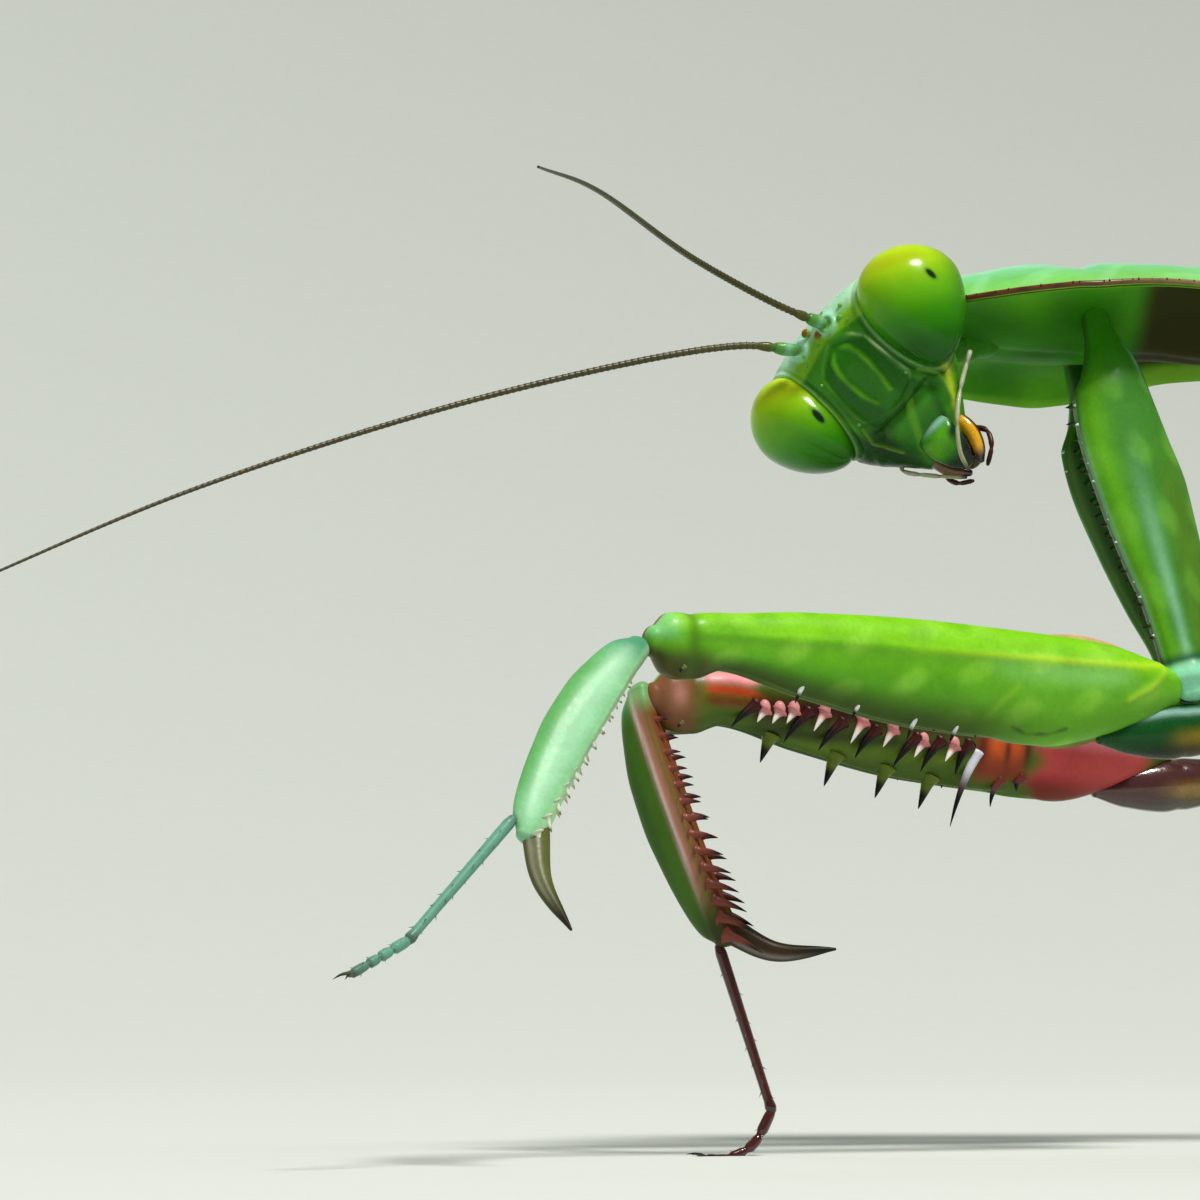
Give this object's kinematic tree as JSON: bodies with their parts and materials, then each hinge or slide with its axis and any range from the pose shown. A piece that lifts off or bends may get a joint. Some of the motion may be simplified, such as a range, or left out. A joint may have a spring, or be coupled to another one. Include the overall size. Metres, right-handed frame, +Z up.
{
  "type": "praying mantis",
  "caption": "Life-size still model of a green shield mantis, standing with its head turned, one raptorial fore leg raised and the other touching down, wings folded.",
  "frame": {"origin": "on the floor, under the middle of the animal's box", "axes": "+X from the head end to the tail end along the body, +Y towards the animal's right, +Z up"},
  "size_m": [0.113, 0.0808, 0.0328],
  "materials": {
    "cuticle": "waxy green cuticle, satin gloss, yellower along its ridges",
    "shield": "pale mint green shield with a brown rim, satin",
    "eye": "glossy lime green eye, darker green below, with a small dark false pupil",
    "antenna": "ringed olive brown",
    "dark_horn": "glossy dark red-brown horn",
    "membrane": "folded soft membrane",
    "wing_green": "leathery leaf-green wing with raised veins",
    "wing_clear": "thin smoky wing with fine veins"
  },
  "bodies": {
    "root": {"abdomen_front": "cuticle", "abdomen_middle": "cuticle", "abdomen_rear": "cuticle", "abdomen_tip": "cuticle", "antenna_left_base": "antenna", "antenna_left_scape": "cuticle", "antenna_left_tip": "antenna", "antenna_right_base": "antenna", "antenna_right_scape": "cuticle", "antenna_right_tip": "antenna", "cercus_left": "cuticle", "cercus_right": "cuticle", "eye_left": "eye", "eye_right": "eye", "fore_left_basitarsus": "dark_horn", "fore_left_coxa": "cuticle", "fore_left_femur": "cuticle", "fore_left_tarsus": "dark_horn", "fore_left_tibia": "cuticle", "fore_left_trochanter": "cuticle", "fore_right_basitarsus": "dark_horn", "fore_right_coxa": "cuticle", "fore_right_femur": "cuticle", "fore_right_tarsus": "dark_horn", "fore_right_tibia": "cuticle", "fore_right_trochanter": "cuticle", "head_capsule": "cuticle", "hind_left_coxa": "cuticle", "hind_left_femur": "cuticle", "hind_left_tarsus": "cuticle", "hind_left_tibia": "cuticle", "hind_right_coxa": "cuticle", "hind_right_femur": "cuticle", "hind_right_tarsus": "cuticle", "hind_right_tibia": "cuticle", "hindwing_left": "wing_clear", "hindwing_right": "wing_clear", "labium": "cuticle", "labrum": "cuticle", "mandibles": "dark_horn", "mesothorax": "cuticle", "metathorax": "cuticle", "mid_left_coxa": "cuticle", "mid_left_femur": "cuticle", "mid_left_tarsus": "cuticle", "mid_left_tibia": "cuticle", "mid_right_coxa": "cuticle", "mid_right_femur": "cuticle", "mid_right_tarsus": "cuticle", "mid_right_tibia": "cuticle", "neck": "membrane", "palp_left": "cuticle", "palp_right": "cuticle", "pronotum": "shield", "prosternum": "cuticle", "tegmen_left": "wing_green", "tegmen_right": "wing_green"}
  },
  "joints": []
}
